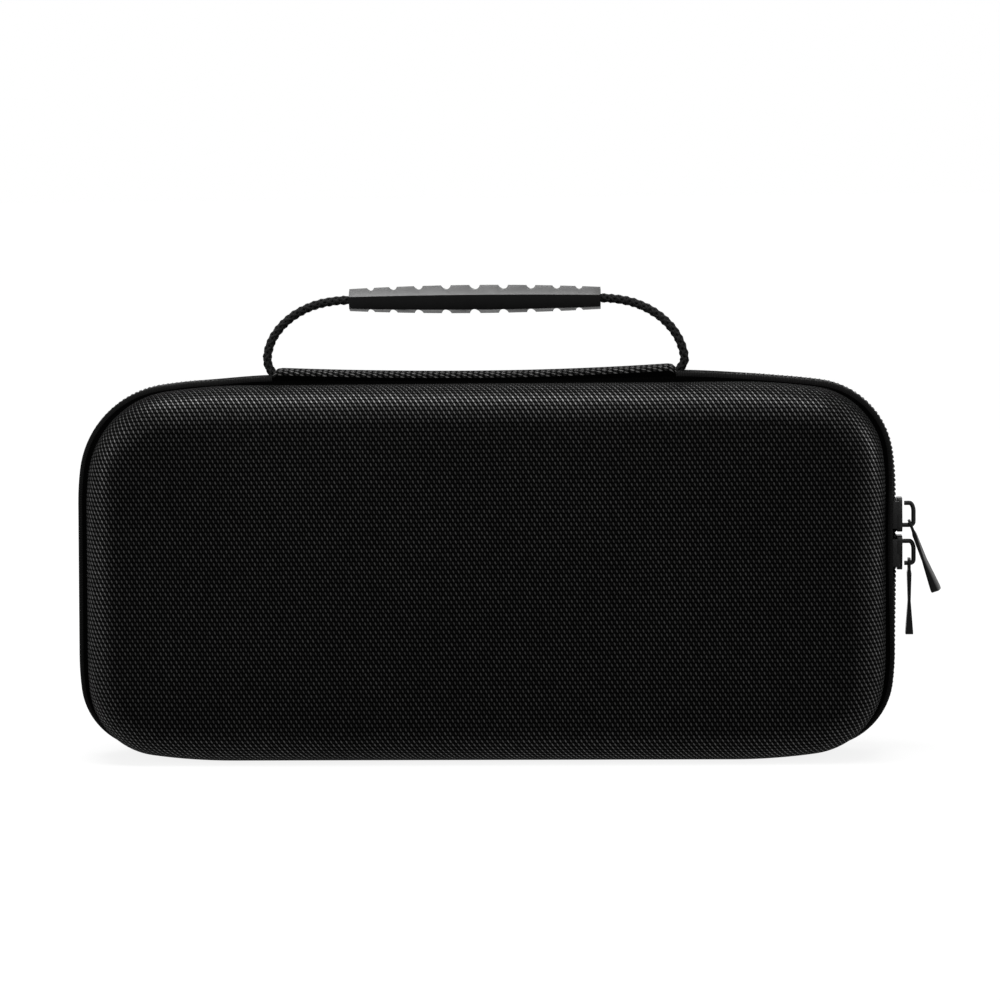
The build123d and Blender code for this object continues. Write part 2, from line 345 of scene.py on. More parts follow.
# plain weave: warp threads run up the cloth, weft threads across it, lengths in mm
def makeWeaveGroup():
    tree, given, put = newGroup(
        "plain weave",
        [("Cloth", "Vector", None), ("Warp Pitch", "Float", 0.8), ("Weft Pitch", "Float", 1.4),
         ("Waver", "Float", 0.1), ("Slant", "Float", 0.0)],
        ["Height", "Crown", "Warp", "Thread"])
    drift = addNode(tree, "ShaderNodeTexNoise", {"Vector": given["Cloth"], "Scale": 0.06, "Detail": 2.0})
    offset = addNode(tree, "ShaderNodeVectorMath", {0: drift.outputs["Color"], 1: (0.5, 0.5, 0.5)},
                     operation="SUBTRACT")
    shifted = addNode(tree, "ShaderNodeVectorMath",
                      {0: offset.outputs[0], "Scale": given["Waver"]}, operation="SCALE")
    moved = addNode(tree, "ShaderNodeVectorMath", {0: given["Cloth"], 1: shifted.outputs[0]}, operation="ADD")
    axes = addNode(tree, "ShaderNodeSeparateXYZ", {"Vector": moved.outputs[0]}).outputs
    along = calc(tree, "DIVIDE", axes["Y"], given["Weft Pitch"])
    # each float leans a little, as twisted yarn does
    lean = calc(tree, "MULTIPLY", calc(tree, "SUBTRACT", calc(tree, "FRACT", along), 0.5), given["Slant"])
    across = calc(tree, "ADD", calc(tree, "DIVIDE", axes["X"], given["Warp Pitch"]), lean)
    column, row = calc(tree, "FLOOR", across), calc(tree, "FLOOR", along)
    odd = calc(tree, "FLOORED_MODULO", calc(tree, "ADD", column, row), 2.0)
    side = calc(tree, "MULTIPLY_ADD", odd, -2.0, 1.0)

    def rounded(value):
        centred = calc(tree, "SUBTRACT", calc(tree, "FRACT", value), 0.5)
        return calc(tree, "COSINE", calc(tree, "MULTIPLY", centred, math.pi))

    roundAcross, roundAlong = rounded(across), rounded(along)
    warp = calc(tree, "MULTIPLY_ADD", side, roundAlong, roundAcross)
    weft = calc(tree, "SUBTRACT", roundAlong, calc(tree, "MULTIPLY", side, roundAcross))
    height = calc(tree, "MULTIPLY", calc(tree, "MAXIMUM", warp, weft), 0.5)
    tree.links.new(height, put["Height"])
    # the painted highlight on each float's crown is slim
    both = calc(tree, "MULTIPLY", roundAcross, roundAlong)
    slim = calc(tree, "ADD", calc(tree, "MULTIPLY", roundAcross, calc(tree, "SUBTRACT", 1.0, odd)),
                calc(tree, "MULTIPLY", roundAlong, odd))
    tree.links.new(calc(tree, "POWER", calc(tree, "MULTIPLY", both, slim), 1.2), put["Crown"])
    tree.links.new(calc(tree, "GREATER_THAN", warp, weft), put["Warp"])
    threads = addNode(tree, "ShaderNodeCombineXYZ", {"X": column, "Y": row})
    each = addNode(tree, "ShaderNodeTexWhiteNoise", {"Vector": threads.outputs[0]}, noise_dimensions="2D")
    tree.links.new(each.outputs["Value"], put["Thread"])
    return tree


# slow change of tone over a piece, and specks of lint, on Object coordinates
def makeToneGroup():
    tree, given, put = newGroup(
        "handled tone", [("Place", "Vector", None), ("Patch", "Float", 0.03), ("Amount", "Float", 0.3)],
        ["Tone", "Grain"])
    scale = calc(tree, "DIVIDE", 1.0, given["Patch"])
    slow = addNode(tree, "ShaderNodeTexNoise", {"Vector": given["Place"], "Scale": scale, "Detail": 3.0})
    centred = calc(tree, "SUBTRACT", slow.outputs[0], 0.5)
    tree.links.new(calc(tree, "MULTIPLY_ADD", centred, given["Amount"], 1.0), put["Tone"])
    fine = addNode(tree, "ShaderNodeTexNoise", {"Vector": given["Place"], "Scale": 2600.0, "Detail": 2.0})
    tree.links.new(fine.outputs[0], put["Grain"])
    return tree


weaveGroup, toneGroup = makeWeaveGroup(), makeToneGroup()


def newMaterial(name, roughness, specular):
    material = bpy.data.materials.new(name)
    material.use_nodes = True
    tree = material.node_tree
    shader = tree.nodes["Principled BSDF"]
    shader.inputs["Roughness"].default_value = roughness
    shader.inputs["Specular IOR Level"].default_value = specular
    return material, tree, shader


def toneOver(tree, patch, amount):
    place = addNode(tree, "ShaderNodeTexCoord")
    tone = addNode(tree, "ShaderNodeGroup", node_tree=toneGroup)
    tree.links.new(place.outputs["Object"], tone.inputs["Place"])
    tone.inputs["Patch"].default_value = patch
    tone.inputs["Amount"].default_value = amount
    return tone.outputs


def grey(level, warm=0.0):
    return (level * (1 + warm), level, level * (1 - warm), 1.0)


def clothMaterial(look):
    material, tree, shader = newMaterial(look["name"], look["roughness"], look["specular"])
    cloth = addNode(tree, "ShaderNodeUVMap", uv_map="cloth")
    weave = addNode(tree, "ShaderNodeGroup", node_tree=weaveGroup)
    tree.links.new(cloth.outputs[0], weave.inputs["Cloth"])
    for socket, setting in (("Warp Pitch", "warp"), ("Weft Pitch", "weft"), ("Waver", "waver"), ("Slant", "slant")):
        weave.inputs[socket].default_value = look[setting]
    tone = toneOver(tree, look["patch"] * mm, look["uneven"])
    share = calc(tree, "MULTIPLY", weave.outputs["Crown"], tone["Tone"])
    thread = calc(tree, "MULTIPLY_ADD", weave.outputs["Thread"], look["threadChange"], 1 - look["threadChange"] / 2)
    # weft floats get less of the pale crown colour: painted shade on the threads that run across
    weftShade = calc(tree, "MULTIPLY_ADD", weave.outputs["Warp"], 1 - look["weftShare"], look["weftShare"])
    share = calc(tree, "MULTIPLY", calc(tree, "MULTIPLY", share, thread), weftShade)
    if look["rimShare"] < 1:
        rim = addNode(tree, "ShaderNodeAttribute", attribute_name="rim").outputs["Fac"]
        # painted shade: darker beside the rim; painted highlight: paler over the fillet than on the face. The coat
        # below takes both as well.
        paintedShade = ramp(tree, rim, look["paintedShadeReach"], (look["rimShare"], 1.0))
        flat = ramp(tree, rim, look["paintedHighlightReach"], (1.0, look["highlightFaceShare"]))
        share = calc(tree, "MULTIPLY", share, calc(tree, "MULTIPLY", paintedShade, flat))
        # the moulding pulled the floats aslant there
        aslant = ramp(tree, rim, look["slantReach"], (look["edgeSlant"], look["slant"]))
        tree.links.new(aslant, weave.inputs["Slant"])
    # pale crowns and near-black gaps: painted highlight on the floats and painted shade between them
    colour = blendColours(tree, share, grey(look["gap"]), grey(look["crown"], look["warm"]))
    tree.links.new(colour, shader.inputs["Base Color"])
    smooth = calc(tree, "MULTIPLY_ADD", tone["Grain"], look["roughSpread"], look["roughness"] - look["roughSpread"] / 2)
    worn = ramp(tree, weave.outputs["Crown"], look["wornReach"], (look["gapRough"], smooth))
    tree.links.new(worn, shader.inputs["Roughness"])
    relief = calc(tree, "MULTIPLY_ADD", tone["Grain"], look["fuzz"], weave.outputs["Height"])
    bump = addNode(tree, "ShaderNodeBump", {"Height": relief, "Strength": look["strength"],
                                            "Distance": look["relief"] * mm})
    tree.links.new(bump.outputs[0], shader.inputs["Normal"])
    shader.inputs["Sheen Weight"].default_value = look["sheen"]
    if look["gloss"]:
        # only the floats' crowns shine
        tree.links.new(calc(tree, "MULTIPLY", share, look["gloss"]), shader.inputs["Coat Weight"])
        shader.inputs["Coat Roughness"].default_value = look["glossRough"]
        shader.inputs["Coat IOR"].default_value = look["glossIor"]
    return material


def look(name, **changes):
    usual = {"name": name, "warp": 0.835, "weft": 1.37, "waver": 0.5, "slant": 0.45, "gap": 0.0008, "crown": 0.03,
             "warm": 0.02, "roughness": 0.45, "roughSpread": 0.12, "specular": 0.006, "relief": 0.3, "strength": 1.0,
             "fuzz": 0.08, "patch": 35.0, "uneven": 0.5, "threadChange": 0.5, "weftShare": 0.1, "sheen": 0.0,
             "rimShare": 1.0, "paintedShadeReach": (10.0, 16.0), "highlightFaceShare": 0.37, "paintedHighlightReach": (18.0, 28.0),
             "edgeSlant": 0.95, "slantReach": (15.0, 27.0), "wornReach": (0.15, 0.75), "gapRough": 0.9,
             "gloss": 0.0, "glossRough": 0.38, "glossIor": 1.6}
    return clothMaterial({**usual, **changes})


# the shell's cloth is darker by the rim (painted shade) and paler over the fillet (painted highlight)
shellWeave = look("shell weave", rimShare=0.1, gloss=1.0)
stripWeave = look("strip weave", warp=0.9, weft=1.8, slant=-0.7, crown=0.07, weftShare=0.1, gloss=0.17)
tapeWeave = look("zip tape", warp=0.55, weft=0.42, waver=0.1, slant=0.0, gap=0.0015, crown=0.006, relief=0.08,
                 weftShare=0.8, roughness=0.5, specular=0.035)
liningKnit = look("lining knit", slant=0.0, warp=0.6, weft=0.5, waver=0.6, gap=0.025, crown=0.07, relief=0.1,
                  weftShare=0.9, roughness=0.85, specular=0.06, sheen=0.1, fuzz=0.5)
# near-black cloth: painted shade in the groove between each zip tape and its shell and under the strip's skirt; the
# tabs wear it too
seamShadeCloth = look("seam shade cloth", slant=0.0, warp=0.6, weft=0.6, gap=0.0005, crown=0.0016, relief=0.1, roughness=0.9,
                specular=0.01)
bindingRib = look("binding rib", slant=0.0, warp=0.9, weft=0.35, waver=0.05, gap=0.012, crown=0.06, relief=0.16,
                  weftShare=0.6)
elasticRib = look("elastic rib", slant=0.0, warp=1.1, weft=0.5, waver=0.1, gap=0.012, crown=0.08, relief=0.2,
                  weftShare=0.5)
print("cloth materials made")


# hard and braided finishes
def makeCordYarn():
    finish = {"gap": 0.002, "crown": 0.02, "yarns": 3.0, "lay": 2.4}
    material, tree, shader = newMaterial("cord yarn", 0.55, 0.05)
    axes = addNode(tree, "ShaderNodeSeparateXYZ",
                   {"Vector": addNode(tree, "ShaderNodeUVMap", uv_map="cloth").outputs[0]}).outputs
    phase = calc(tree, "MULTIPLY_ADD", axes["X"], finish["lay"] * 2, axes["Y"])
    wave = calc(tree, "SINE", calc(tree, "MULTIPLY", phase, finish["yarns"] * 2))
    height = calc(tree, "MULTIPLY_ADD", wave, 0.5, 0.5)
    tone = toneOver(tree, 0.006, 0.6)
    share = calc(tree, "MULTIPLY", height, tone["Tone"])
    # pale on the strands' crowns and near-black between them: painted highlight and painted shade
    tree.links.new(blendColours(tree, share, grey(finish["gap"]), grey(finish["crown"])), shader.inputs["Base Color"])
    relief = calc(tree, "MULTIPLY_ADD", tone["Grain"], 0.5, height)
    bump = addNode(tree, "ShaderNodeBump", {"Height": relief, "Distance": 0.06 * mm})
    tree.links.new(bump.outputs[0], shader.inputs["Normal"])
    return material


# patchy grey with a grainy surface, lengths in mm
def hardFinish(name, finish):
    material, tree, shader = newMaterial(name, finish["rough"], finish["specular"])
    tone = toneOver(tree, finish["patch"] * mm, 0.9)
    colour = blendColours(tree, calc(tree, "MULTIPLY", tone["Tone"], 0.5), grey(finish["dark"]), grey(finish["pale"]))
    if "edge" in finish:
        # rubbed edges show a little of the metal
        point = addNode(tree, "ShaderNodeNewGeometry").outputs["Pointiness"]
        edge = ramp(tree, point, finish["edgeReach"], (0.0, 1.0), "LINEAR")
        colour = blendColours(tree, calc(tree, "MULTIPLY", edge, tone["Grain"]), colour, grey(finish["edge"]))
    tree.links.new(colour, shader.inputs["Base Color"])
    rough = calc(tree, "MULTIPLY_ADD", tone["Grain"], finish["roughSpread"], finish["rough"])
    tree.links.new(rough, shader.inputs["Roughness"])
    if "relief" in finish:
        bump = addNode(tree, "ShaderNodeBump", {"Height": tone["Grain"], "Distance": finish["relief"] * mm,
                                                "Strength": finish["strength"]})
        tree.links.new(bump.outputs[0], shader.inputs["Normal"])
    return material


rubber = {"dark": 0.003, "pale": 0.012, "specular": 0.07, "patch": 4.0, "rough": 0.32, "roughSpread": 0.25,
          "relief": 0.04, "strength": 0.7}
cordYarn = makeCordYarn()
gripSmooth = hardFinish("grip rubber", rubber)
# painted sheen: the faces that turn up to the overhead lamp or down to the floor get a paler colour and a stronger
# shine than the others
gripLitFacets = hardFinish("grip lit facets", {**rubber, "dark": 0.012, "pale": 0.04, "specular": 0.4})
sliderEnamel = hardFinish("slider enamel", {"dark": 0.002, "pale": 0.006, "specular": 0.06, "patch": 3.0, "rough": 0.16,
                                            "roughSpread": 0.2, "relief": 0.02, "strength": 0.5, "edge": 0.07,
                                            "edgeReach": (0.53, 0.62)})
coilNylon = hardFinish("coil nylon", {"dark": 0.004, "pale": 0.014, "specular": 0.08, "patch": 2.0, "rough": 0.3,
                                      "roughSpread": 0.3})
print("hard materials made")


# handle cord: the route's points, then strands braided round it
cord = {
    "foot": 66.2, "middle": -2.9, "pivot": 124.0, "diameter": 2.5,
    # each half, outwards and up from its foot; the foot leans in under the strip's end
    "leftRise": [(-1.6, -0.6), (0.7, 2.4), (1.1, 6.4), (-0.9, 12.4), (-6.0, 18.2), (-13.4, 22.3), (-21.7, 24.0),
                 (-30.2, 24.0)],
    "rightRise": [(-1.6, -0.6), (1.5, 2.2), (1.6, 6.0), (-0.8, 12.4), (-6.0, 18.2), (-13.4, 22.3), (-21.7, 24.0),
                  (-30.2, 24.0)],
    "strandsEachWay": 4, "strand": 0.53, "ring": 0.92, "weave": 0.13, "pitch": 9.6, "core": 0.75, "step": 0.55,
}


# a curve with a spline for each line: (points, thickness factor)
def drawCurve(lines, kind, resolution=12):
    bpy.ops.object.select_all(action="DESELECT")
    bpy.ops.curve.primitive_nurbs_path_add()
    piece = bpy.context.object
    piece.data.splines.clear()
    for points, thickness in lines:
        spline = piece.data.splines.new(kind)
        spline.points.add(len(points) - 1)
        for point, place in zip(spline.points, points):
            point.co = (*place, 1)
            point.radius = thickness
        if kind == "NURBS":
            spline.order_u, spline.use_endpoint_u, spline.resolution_u = 3, True, resolution
    return piece


def drawRoute():
    route = [(-cord["foot"] - x, z) for x, z in cord["leftRise"]]
    route += [(cord["foot"] + x, z) for x, z in cord["rightRise"][::-1]]
    places = [((cord["middle"] + x) * mm, 0, (cord["pivot"] + z) * mm) for x, z in route]
    piece = drawCurve([(places, 1.0)], "NURBS", 24)
    bpy.context.view_layer.update()
    line = bpy.data.meshes.new_from_object(piece.evaluated_get(bpy.context.evaluated_depsgraph_get()))
    points = [vertex.co.copy() for vertex in line.vertices]
    bpy.data.meshes.remove(line)
    bpy.data.objects.remove(piece)
    return points


def evenPoints(points, step):
    run = runLengths(points, False)
    count = round(run[-1] / step)
    even, k = [], 0
    for number in range(count + 1):
        want = run[-1] * number / count
        while k < len(run) - 2 and run[k + 1] < want:
            k += 1
        share = (want - run[k]) / (run[k + 1] - run[k])
        even.append((want, points[k].lerp(points[k + 1], min(share, 1.0))))
    return even, run[-1]


# tubes round lines of points, as one mesh
def drawTubes(name, lines, radius, sides=1, loop=False):
    piece = drawCurve(lines, "POLY")
    piece.name = name
    for spline in piece.data.splines:
        spline.use_cyclic_u = loop
    piece.data.bevel_depth = radius
    piece.data.bevel_resolution = sides
    piece.data.use_fill_caps = not loop
    bpy.ops.object.convert(target="MESH")
    piece = bpy.context.object
    piece.data.name = name
    piece.data.materials.clear()
    return piece


def tubeCloth(piece, length, girth):
    layer = piece.data.uv_layers[0]
    layer.name = "cloth"
    for spot in layer.data:
        spot.uv = (spot.uv[0] * length / mm, spot.uv[1] * girth / mm)


def makeHandleCord():
    points = drawRoute()
    even, length = evenPoints(points, cord["step"] * mm)
    across = Vector((0, 1, 0))
    lines = []
    for way in (1, -1):
        for strand in range(cord["strandsEachWay"]):
            line = []
            for k, (run, place) in enumerate(even):
                before, after = even[max(k - 1, 0)][1], even[min(k + 1, len(even) - 1)][1]
                up = across.cross((after - before).normalized())
                turn = way * 2 * math.pi * run / (cord["pitch"] * mm) + strand * 2 * math.pi / cord["strandsEachWay"]
                over = way * math.cos(8 * math.pi * run / (cord["pitch"] * mm))
                ring = (cord["ring"] + cord["weave"] * over) * mm
                line.append(place + (up * math.cos(turn) + across * math.sin(turn)) * ring)
            lines.append((line, 1.0))
    lines.append(([place for run, place in even[::2]], cord["core"] / cord["strand"]))
    piece = drawTubes("handleCord", lines, cord["strand"] * mm)
    tubeCloth(piece, length, 2 * math.pi * cord["strand"] * mm)
    smoothEdges(piece, 60)
    wear(piece, cordYarn)
    settle(piece, "handle", "cord", "handle_cord")
    print("handle cord braided, %.1f mm long" % (length / mm))


makeHandleCord()


# handle grip: six-sided sleeve, fuller in the middle, notched above and below
grip = {
    "length": 81.0, "midHeight": 8.2, "endHeight": 6.5, "midDepth": 12.0, "endDepth": 8.6, "flat": 0.42,
    "roll": 15.0, "sections": 24, "edge": 0.28, "notchesEachSide": 4, "notchPitch": 9.3, "crowding": 0.056,
    "notchWidth": 3.5, "narrowing": 0.3, "notchDepth": 1.45, "shallowing": 0.13, "shift": 0.4,
    "litFacetFrom": 0.62, "endFrom": 0.3,
}


def gripSection(x):
    swell = 1 - (2 * x / grip["length"]) ** 2
    height = grip["endHeight"] + (grip["midHeight"] - grip["endHeight"]) * swell
    depth = grip["endDepth"] + (grip["midDepth"] - grip["endDepth"]) * swell
    return height, depth


def makeHandleGrip():
    half = grip["length"] / 2
    height, depth = gripSection(-half)
    flat = grip["flat"] * depth / 2
    corners = [(depth / 2, 0), (flat, height / 2), (-flat, height / 2),
               (-depth / 2, 0), (-flat, -height / 2), (flat, -height / 2)]
    piece = drawProfile("handleGrip", [Vector((-half, y, z)) * mm for y, z in corners])
    editAll(piece)
    stride = grip["length"] / grip["sections"]
    for k in range(grip["sections"]):
        oldHeight, oldDepth = gripSection(-half + k * stride)
        newHeight, newDepth = gripSection(-half + (k + 1) * stride)
        bpy.ops.mesh.extrude_region_move(TRANSFORM_OT_translate={"value": (stride * mm, 0, 0)})
        bpy.ops.transform.resize(value=(1, newDepth / oldDepth, newHeight / oldHeight), center_override=(0, 0, 0))
    bpy.ops.object.mode_set(mode="OBJECT")
    capEnds(piece, len(corners))
    closeUp(piece)
    roll = math.radians(grip["roll"])
    piece.data.transform(Matrix.Rotation(-roll, 4, "X"))
    cutters = []
    reachOut = 2 * grip["midDepth"] * mm
    for k in range(-grip["notchesEachSide"], grip["notchesEachSide"] + 1):
        x = grip["notchPitch"] * k - grip["crowding"] * k ** 3
        radius = (grip["notchWidth"] - grip["narrowing"] * abs(k)) / 2
        height, depth = gripSection(x)
        edge = height / 2 * math.cos(roll) + grip["flat"] * depth / 2 * math.sin(roll)
        rise = edge - grip["notchDepth"] + grip["shallowing"] * abs(k) + radius
        for side in (-1, 1):
            bpy.ops.mesh.primitive_cylinder_add(vertices=24, radius=radius * mm, depth=reachOut,
                                                location=(x * mm, 0, side * rise * mm),
                                                rotation=(math.pi / 2, 0, 0))
            cutters.append(bpy.context.object)
    cutter = joinPieces("gripNotches", cutters)
    takeUp(cutter)
    bpy.ops.object.transform_apply(location=True, rotation=True, scale=True)
    cut = piece.modifiers.new("notches", "BOOLEAN")
    cut.operation, cut.object, cut.solver = "DIFFERENCE", cutter, "EXACT"
    applyAll(piece)
    bpy.data.objects.remove(cutter)
    editAll(piece)
    bpy.ops.mesh.remove_doubles(threshold=1e-6)
    bpy.ops.mesh.dissolve_limited(angle_limit=math.radians(0.5))
    bpy.ops.object.mode_set(mode="OBJECT")
    rounded = piece.modifiers.new("edges", "BEVEL")
    rounded.width, rounded.segments, rounded.angle_limit = grip["edge"] * mm, 2, math.radians(28)
    rounded.use_clamp_overlap = True
    applyAll(piece)
    middle = Vector((cord["middle"] + grip["shift"], 0, cord["pivot"] + cord["leftRise"][-1][1])) * mm
    piece.data.transform(Matrix.Translation(middle))
    smoothEdges(piece, 32)
    wear(piece, gripSmooth, gripLitFacets)
    # painted sheen: faces that point up or down wear the paler, shinier rubber
    for face in piece.data.polygons:
        face.material_index = int(abs(face.normal.z) > grip["litFacetFrom"] and abs(face.normal.x) < grip["endFrom"])
    settle(piece, "handle", "grip_rubber", "handle_grip")
    print("handle grip made,", len(piece.data.polygons), "faces")


makeHandleGrip()


# outlines of the shells and of the zip, in mm; they share their gentle shoulders
shoulders = {"longRadius": 190.0, "longTurn": 8.0, "sideRadius": 90.0, "sideTurn": 7.0}
# corner radii clockwise from the upper right one
outlines = {"shell": {"node": "front_shell", "corners": (25.0, 25.5, 24.0, 30.0)},
            "zip": {"node": "lid_zip_tape", "corners": (25.5, 22.5, 21.5, 30.0)}}
# the left end leans out a little towards the foot
leanOut = {"from": 60.0, "to": 128.0, "middle": 60.0, "shift": 0.3, "slope": 0.7}


# for each corner: half of the straight run beside it, the length from mid height to it, and its bends
def outlineCorners(kind):
    low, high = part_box(outlines[kind]["node"])
    longTurn, sideTurn = math.radians(shoulders["longTurn"]), math.radians(shoulders["sideTurn"])
    longRadius, sideRadius = shoulders["longRadius"] * mm, shoulders["sideRadius"] * mm
    cornerTurn = math.pi / 2 - longTurn - sideTurn
    corners = []
    for radius in outlines[kind]["corners"]:
        corner = radius * mm
        flat = high.x - longRadius * math.sin(longTurn) - corner * (math.cos(sideTurn) - math.sin(longTurn))
        flat -= sideRadius * (1 - math.cos(sideTurn))
        side = (high.z - low.z) / 2 - longRadius * (1 - math.cos(longTurn))
        side -= corner * (math.cos(longTurn) - math.sin(sideTurn)) + sideRadius * math.sin(sideTurn)
        bends = [(longRadius * longTurn, longRadius, 8), (corner * cornerTurn, corner, 18),
                 (sideRadius * sideTurn, sideRadius, 4)]
        corners.append((flat, side, bends))
    return high.z, corners


# the whole way round from the top, between two places along it
def railRound(kind, startX=0.0, endX=0.0, steps=1):
    top, corners = outlineCorners(kind)
    (flatA, sideA, bendsA), (flatB, sideB, bendsB), (flatC, sideC, bendsC), (flatD, sideD, bendsD) = corners
    legs = [(flatA - startX, 0, steps), *bendsA, (sideA + sideB, 0, 4), *bendsB[::-1], (flatB + flatC, 0, 4),
            *bendsC, (sideC + sideD, 0, 4), *bendsD[::-1], (flatD + endX, 0, steps)]
    return buildRail((startX, 0, top), (1, 0, 0), legs)


def leanLeft(piece):
    for vertex in piece.data.vertices:
        share = (-vertex.co.x / mm - leanOut["from"]) / (leanOut["to"] - leanOut["from"])
        rise = (leanOut["middle"] - vertex.co.z / mm) / leanOut["middle"]
        if share > 0:
            vertex.co.x -= share * (leanOut["shift"] + leanOut["slope"] * rise) * mm


def arcPoints(centre, radius, start, end, steps):
    angles = [math.radians(start + (end - start) * k / steps) for k in range(steps + 1)]
    return [(centre[0] + radius * math.cos(a), centre[1] + radius * math.sin(a)) for a in angles]


# shells: a section swept round the outline, then closed by a crowned front and a flat inner panel
shell = {"fillet": 12.5, "wall": 4.0, "rimRound": 1.5, "filletSteps": 14, "rimSteps": 4,
         "crown": 1.4, "crownRings": 14, "edgeSlope": 3.2,
         # the walls draw in between the rim and the fillet: left, right
         "draft": (1.0, 0.2), "draftDepth": 6.0}


def crownPanel(piece, depth):
    low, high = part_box("front_shell")
    middle = (0, -depth * mm, (low.z + high.z) / 2)
    editSome(piece, lambda vertex: abs(vertex.co.y + depth * mm) < 1e-6)
    rings = shell["crownRings"]
    for k in range(rings - 1, 0, -1):
        before, after = (k + 1) / rings, k / rings
        rise = shell["crown"] * (before ** 2 - after ** 2) * mm
        bpy.ops.mesh.extrude_region_move(TRANSFORM_OT_translate={"value": (0, -rise, 0)})
        bpy.ops.transform.resize(value=(after / before, 1, after / before), center_override=middle)
    bpy.ops.mesh.edge_face_add()
    bpy.ops.object.mode_set(mode="OBJECT")


def draftWalls(piece, rim):
    for vertex in piece.data.vertices:
        depth = clamp((-vertex.co.y / mm - rim) / shell["draftDepth"])
        side = shell["draft"][0 if vertex.co.x < 0 else 1]
        share = (abs(vertex.co.x) / mm - leanOut["from"]) / (leanOut["to"] - leanOut["from"])
        if share > 0:
            vertex.co.x -= math.copysign(share * depth * side * mm, vertex.co.x)


def makeShells():
    low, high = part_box("front_shell")
    face, rim = -low.y / mm, -high.y / mm
    fillet, wall, small = shell["fillet"], shell["wall"], shell["rimRound"]
    turn, full = face - fillet, 90 - shell["edgeSlope"]
    # (outwards from the outline, towards the front)
    section = arcPoints((-fillet, turn), fillet, full, 0, shell["filletSteps"])
    section += arcPoints((-small, rim + small), small, 0, -90, shell["rimSteps"])
    outerCount = len(section)
    section += [(-wall, rim)] + arcPoints((-fillet, turn), fillet - wall, 0, 90, shell["filletSteps"])
    points = [Vector((0, -front * mm, high.z + out * mm)) for out, front in section]
    piece = drawProfile("lidShell", points, closed=False)
    sweepAlong(piece, railRound("shell"))
    count, run = len(points), runLengths(points, False)
    vertices = piece.data.vertices
    layer = piece.data.uv_layers.new(name="cloth")
    wallSpot = shell["filletSteps"]
    rimLine = piece.data.attributes.new("rim", "FLOAT", "POINT")
    for v in range(len(vertices)):
        rimLine.data[v].value = max(0.0, run[outerCount - 1] - run[v % count]) / mm

    def drape(v):
        ring, spot = v // count * count, v % count
        inside = spot >= outerCount
        first = ring + (count - 1 if inside else 0)
        edge, outer = vertices[first].co, vertices[ring + wallSpot].co
        outward = Vector((outer.x - edge.x, outer.z - edge.z)).normalized()
        length = run[-1] - run[spot] if inside else run[spot]
        return (Vector((edge.x, edge.z)) + outward * length) / mm

    for part in piece.data.polygons:
        part.material_index = int(min(v % count for v in part.vertices) >= outerCount - 1)
        for loop, v in zip(part.loop_indices, part.vertices):
            layer.data[loop].uv = drape(v)
    closeUp(piece)
    edge = turn + fillet * math.sin(math.radians(full))
    crownPanel(piece, edge)
    for vertex, spot in zip(piece.data.vertices, piece.data.attributes["rim"].data):
        if -vertex.co.y > (edge - 1e-3) * mm:
            spot.value = run[outerCount - 1] / mm
    editSome(piece, lambda vertex: abs(vertex.co.y + (face - wall) * mm) < 1e-6)
    bpy.ops.mesh.edge_face_add()
    bpy.ops.object.mode_set(mode="OBJECT")
    layer = piece.data.uv_layers["cloth"]
    for part in piece.data.polygons:
        crowned = min(-piece.data.vertices[v].co.y for v in part.vertices) > (edge - 1e-3) * mm
        if len(part.vertices) > 4 or crowned:
            part.material_index = int(part.center.y > -(face - wall / 2) * mm)
            for loop, v in zip(part.loop_indices, part.vertices):
                layer.data[loop].uv = (piece.data.vertices[v].co.x / mm, piece.data.vertices[v].co.z / mm)
    draftWalls(piece, rim)
    leanLeft(piece)
    closeUp(piece)
    smoothEdges(piece, 35)
    wear(piece, shellWeave, liningKnit)
    settleBoth(piece, "baseShell", "shell_fabric", "front_shell", "back_shell")
    print("shells made,", len(piece.data.polygons), "faces each")


makeShells()


# zip: tapes that turn down to the rims, and a coil wound along each
zipSizes = {
    "thickness": 0.7, "slot": 0.6, "bed": -0.35, "bedEdge": 2.9, "roll": 1.75, "rollFrom": 4.45, "rollTop": 0.95,
    "rim": 6.5, "tuck": 3.4, "steps": 14, "grooveFrom": 6.18, "hingeMiddle": -2.9, "hingeHalf": 64.9,
    "rightLift": 1.6, "rightReach": 36.0, "leftLift": 1.0, "leftReach": 22.0,
    "coilPitch": 1.48, "pointsPerTurn": 8, "wire": 0.32, "coilReach": (-0.2, 3.0), "coilHeight": (0.1, 1.0),
    "core": 0.3, "coreHeight": 0.5, "sliderSide": 120.0, "sliderRun": (36.0, 92.0),
    "filler": 0.5, "fillerHeight": 0.1, "coilSink": 1.0, "sinkReach": 26.0,
    # beside the sliders the coil stands out and the rolls draw back
    "standOut": 0.4, "drawBack": 0.6, "standHeight": 70.0, "standReach": 38.0,
}


# the band rides up a little beside the cord's feet
def liftBand(piece, sink=0.0):
    s = zipSizes
    rightEnd, leftEnd = s["hingeMiddle"] + s["hingeHalf"], s["hingeMiddle"] - s["hingeHalf"]
    for vertex in piece.data.vertices:
        if vertex.co.z > 100 * mm:
            x = vertex.co.x / mm
            right = clamp(1 - (x - rightEnd) / s["rightReach"]) if x > 0 else 0.0
            left = clamp(1 - (leftEnd - x) / s["leftReach"]) if x < 0 else 0.0
            vertex.co.z += (ease(right) * s["rightLift"] + ease(left) * s["leftLift"]) * mm
            # the coil goes under between the rolls there
            end = max(0.0, 1 - min(abs(x - rightEnd), abs(x - leftEnd)) / s["sinkReach"])
            vertex.co.z -= sink * end * (2 - end) * mm


def standOut(piece, amount):
    s = zipSizes
    for vertex in piece.data.vertices:
        if vertex.co.x > 100 * mm:
            share = max(0.0, 1 - ((vertex.co.z / mm - s["standHeight"]) / s["standReach"]) ** 2)
            vertex.co.x += amount(vertex) * share * share * mm


def zipRail():
    s = zipSizes
    return railRound("zip", (s["hingeMiddle"] + s["hingeHalf"]) * mm, (s["hingeMiddle"] - s["hingeHalf"]) * mm, 6)


